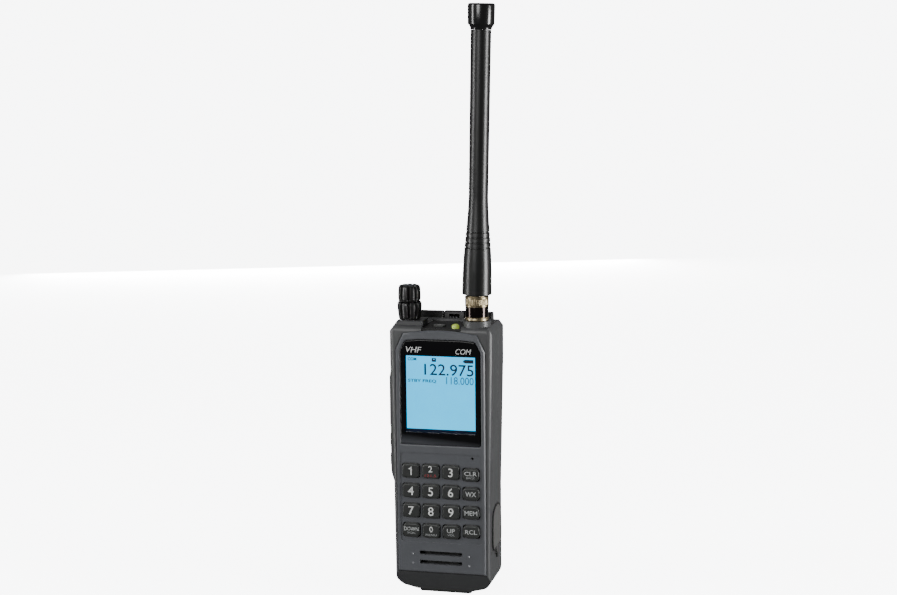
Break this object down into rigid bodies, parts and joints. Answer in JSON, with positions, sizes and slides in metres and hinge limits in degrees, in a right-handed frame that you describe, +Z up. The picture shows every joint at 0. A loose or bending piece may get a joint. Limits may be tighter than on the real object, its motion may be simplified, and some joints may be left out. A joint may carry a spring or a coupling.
{
  "type": "handheld aviation radio",
  "caption": "Handheld airband radio with lit display, front keypad, twin top knobs, side keys, jack cover, belt clip and whip antenna.",
  "frame": {"origin": "on the ground under the middle of the body, at the centre of the base pad's underside", "axes": "+Z up along the body and the antenna, -Y out of the front face, +X towards the antenna and jack side"},
  "size_m": [0.067, 0.0509, 0.3609],
  "materials": {
    "case_plastic": "fine moulded texture, dark grey",
    "panel_plastic": "fine moulded texture, blue-grey",
    "black_plastic": "satin black",
    "knob_plastic": "semi-gloss black",
    "key_rubber": "matt charcoal with pale legends",
    "side_rubber": "matt black",
    "flap_rubber": "matt grey",
    "antenna_rubber": "satin black",
    "antenna_tip": "gloss black",
    "lens": "clear gloss with a black printed border",
    "screen": "lit pale blue with dark segments",
    "light": "translucent yellow-green",
    "circuit_board": "green solder mask",
    "sheet_steel": "tinned",
    "nickel": "polished nickel with turned rings",
    "brass": "turned",
    "socket_plastic": "satin black",
    "cell_jacket": "printed jacket, copper and black"
  },
  "bodies": {
    "radio": {"front_case": "case_plastic", "rear_case": "case_plastic", "front_bezel": "panel_plastic", "top_insert": "black_plastic", "base_pad": "side_rubber", "display_lens": "lens", "lcd_panel": "screen", "light_pipe": "light", "main_board": "circuit_board", "rf_shield": "sheet_steel", "keypad_membrane": "side_rubber", "speaker": "sheet_steel", "microphone": "sheet_steel", "control_unit": "sheet_steel", "antenna_socket": "nickel", "headphone_jack": "socket_plastic", "microphone_jack": "socket_plastic", "clip_bracket": "black_plastic", "clip_pin": "sheet_steel", "clip_spring": "sheet_steel"},
    "volume_control": {"volume_knob": "knob_plastic", "volume_shaft": "brass"},
    "squelch_control": {"squelch_knob": "knob_plastic", "squelch_shaft": "brass"},
    "antenna": {"antenna_plug": "brass", "antenna_core": "brass", "antenna_sheath": "antenna_rubber", "antenna_cap": "antenna_tip"},
    "antenna_nut": {"antenna_nut": "nickel"},
    "jack_cover": {"jack_cover": "flap_rubber"},
    "belt_clip": {"belt_clip": "black_plastic"},
    "battery": {"battery_case": "case_plastic", "cell_1": "cell_jacket", "cell_2": "cell_jacket", "cell_3": "cell_jacket", "cell_4": "cell_jacket", "cell_5": "cell_jacket", "cell_6": "cell_jacket"},
    "battery_latch": {"battery_latch": "black_plastic"},
    "ptt_button": {"ptt_button": "side_rubber"},
    "side_key_upper": {"side_key_upper": "side_rubber"},
    "side_key_lower": {"side_key_lower": "side_rubber"},
    "top_key": {"top_key": "key_rubber"},
    "key_1": {"key_1": "key_rubber"},
    "key_2": {"key_2": "key_rubber"},
    "key_3": {"key_3": "key_rubber"},
    "key_clear": {"key_clear": "key_rubber"},
    "key_4": {"key_4": "key_rubber"},
    "key_5": {"key_5": "key_rubber"},
    "key_6": {"key_6": "key_rubber"},
    "key_weather": {"key_weather": "key_rubber"},
    "key_7": {"key_7": "key_rubber"},
    "key_8": {"key_8": "key_rubber"},
    "key_9": {"key_9": "key_rubber"},
    "key_memory": {"key_memory": "key_rubber"},
    "key_down": {"key_down": "key_rubber"},
    "key_0": {"key_0": "key_rubber"},
    "key_up": {"key_up": "key_rubber"},
    "key_recall": {"key_recall": "key_rubber"}
  },
  "joints": [
    {"name": "key_1_press", "type": "slide", "parent": "radio", "child": "key_1", "axis": [0, 1, 0], "range_m": [0, 0.0008], "stiffness_N_per_m": 300},
    {"name": "key_2_press", "type": "slide", "parent": "radio", "child": "key_2", "axis": [0, 1, 0], "range_m": [0, 0.0008], "stiffness_N_per_m": 300},
    {"name": "key_3_press", "type": "slide", "parent": "radio", "child": "key_3", "axis": [0, 1, 0], "range_m": [0, 0.0008], "stiffness_N_per_m": 300},
    {"name": "key_clear_press", "type": "slide", "parent": "radio", "child": "key_clear", "axis": [0, 1, 0], "range_m": [0, 0.0008], "stiffness_N_per_m": 300},
    {"name": "key_4_press", "type": "slide", "parent": "radio", "child": "key_4", "axis": [0, 1, 0], "range_m": [0, 0.0008], "stiffness_N_per_m": 300},
    {"name": "key_5_press", "type": "slide", "parent": "radio", "child": "key_5", "axis": [0, 1, 0], "range_m": [0, 0.0008], "stiffness_N_per_m": 300},
    {"name": "key_6_press", "type": "slide", "parent": "radio", "child": "key_6", "axis": [0, 1, 0], "range_m": [0, 0.0008], "stiffness_N_per_m": 300},
    {"name": "key_weather_press", "type": "slide", "parent": "radio", "child": "key_weather", "axis": [0, 1, 0], "range_m": [0, 0.0008], "stiffness_N_per_m": 300},
    {"name": "key_7_press", "type": "slide", "parent": "radio", "child": "key_7", "axis": [0, 1, 0], "range_m": [0, 0.0008], "stiffness_N_per_m": 300},
    {"name": "key_8_press", "type": "slide", "parent": "radio", "child": "key_8", "axis": [0, 1, 0], "range_m": [0, 0.0008], "stiffness_N_per_m": 300},
    {"name": "key_9_press", "type": "slide", "parent": "radio", "child": "key_9", "axis": [0, 1, 0], "range_m": [0, 0.0008], "stiffness_N_per_m": 300},
    {"name": "key_memory_press", "type": "slide", "parent": "radio", "child": "key_memory", "axis": [0, 1, 0], "range_m": [0, 0.0008], "stiffness_N_per_m": 300},
    {"name": "key_down_press", "type": "slide", "parent": "radio", "child": "key_down", "axis": [0, 1, 0], "range_m": [0, 0.0008], "stiffness_N_per_m": 300},
    {"name": "key_0_press", "type": "slide", "parent": "radio", "child": "key_0", "axis": [0, 1, 0], "range_m": [0, 0.0008], "stiffness_N_per_m": 300},
    {"name": "key_up_press", "type": "slide", "parent": "radio", "child": "key_up", "axis": [0, 1, 0], "range_m": [0, 0.0008], "stiffness_N_per_m": 300},
    {"name": "key_recall_press", "type": "slide", "parent": "radio", "child": "key_recall", "axis": [0, 1, 0], "range_m": [0, 0.0008], "stiffness_N_per_m": 300},
    {"name": "top_key_press", "type": "slide", "parent": "radio", "child": "top_key", "axis": [0, 0, -1], "range_m": [0, 0.0006], "stiffness_N_per_m": 300},
    {"name": "ptt_press", "type": "slide", "parent": "radio", "child": "ptt_button", "axis": [1, 0, 0], "range_m": [0, 0.001], "stiffness_N_per_m": 500},
    {"name": "side_key_upper_press", "type": "slide", "parent": "radio", "child": "side_key_upper", "axis": [1, 0, 0], "range_m": [0, 0.0007], "stiffness_N_per_m": 300},
    {"name": "side_key_lower_press", "type": "slide", "parent": "radio", "child": "side_key_lower", "axis": [1, 0, 0], "range_m": [0, 0.0007], "stiffness_N_per_m": 300},
    {"name": "volume_turn", "type": "hinge", "parent": "radio", "child": "volume_control", "pos_m": [-0.0212, -0.008, 0.187], "axis": [0, 0, 1], "range_deg": [-140, 140]},
    {"name": "squelch_turn", "type": "hinge", "parent": "radio", "child": "squelch_control", "pos_m": [-0.0212, -0.008, 0.177], "axis": [0, 0, 1], "range_deg": [-140, 140]},
    {"name": "antenna_lift", "type": "slide", "parent": "radio", "child": "antenna", "axis": [0, 0, 1], "range_m": [0, 0.014]},
    {"name": "antenna_nut_turn", "type": "hinge", "parent": "antenna", "child": "antenna_nut", "pos_m": [0.021, -0.0088, 0.18], "axis": [0, 0, 1], "range_deg": [0, 90]},
    {"name": "jack_cover_open", "type": "hinge", "parent": "radio", "child": "jack_cover", "pos_m": [0.03075, 0.0006, 0.0555], "axis": [0, -1, 0], "range_deg": [0, 100]},
    {"name": "belt_clip_open", "type": "hinge", "parent": "radio", "child": "belt_clip", "pos_m": [0, 0.0223, 0.1672], "axis": [1, 0, 0], "range_deg": [0, 20], "stiffness_Nm_per_rad": 0.3, "springref_deg": -11.46},
    {"name": "battery_release", "type": "slide", "parent": "radio", "child": "battery", "axis": [0, 1, 0], "range_m": [0, 0.018]},
    {"name": "battery_latch_slide", "type": "slide", "parent": "battery", "child": "battery_latch", "axis": [0, 0, 1], "range_m": [0, 0.003], "stiffness_N_per_m": 200}
  ]
}
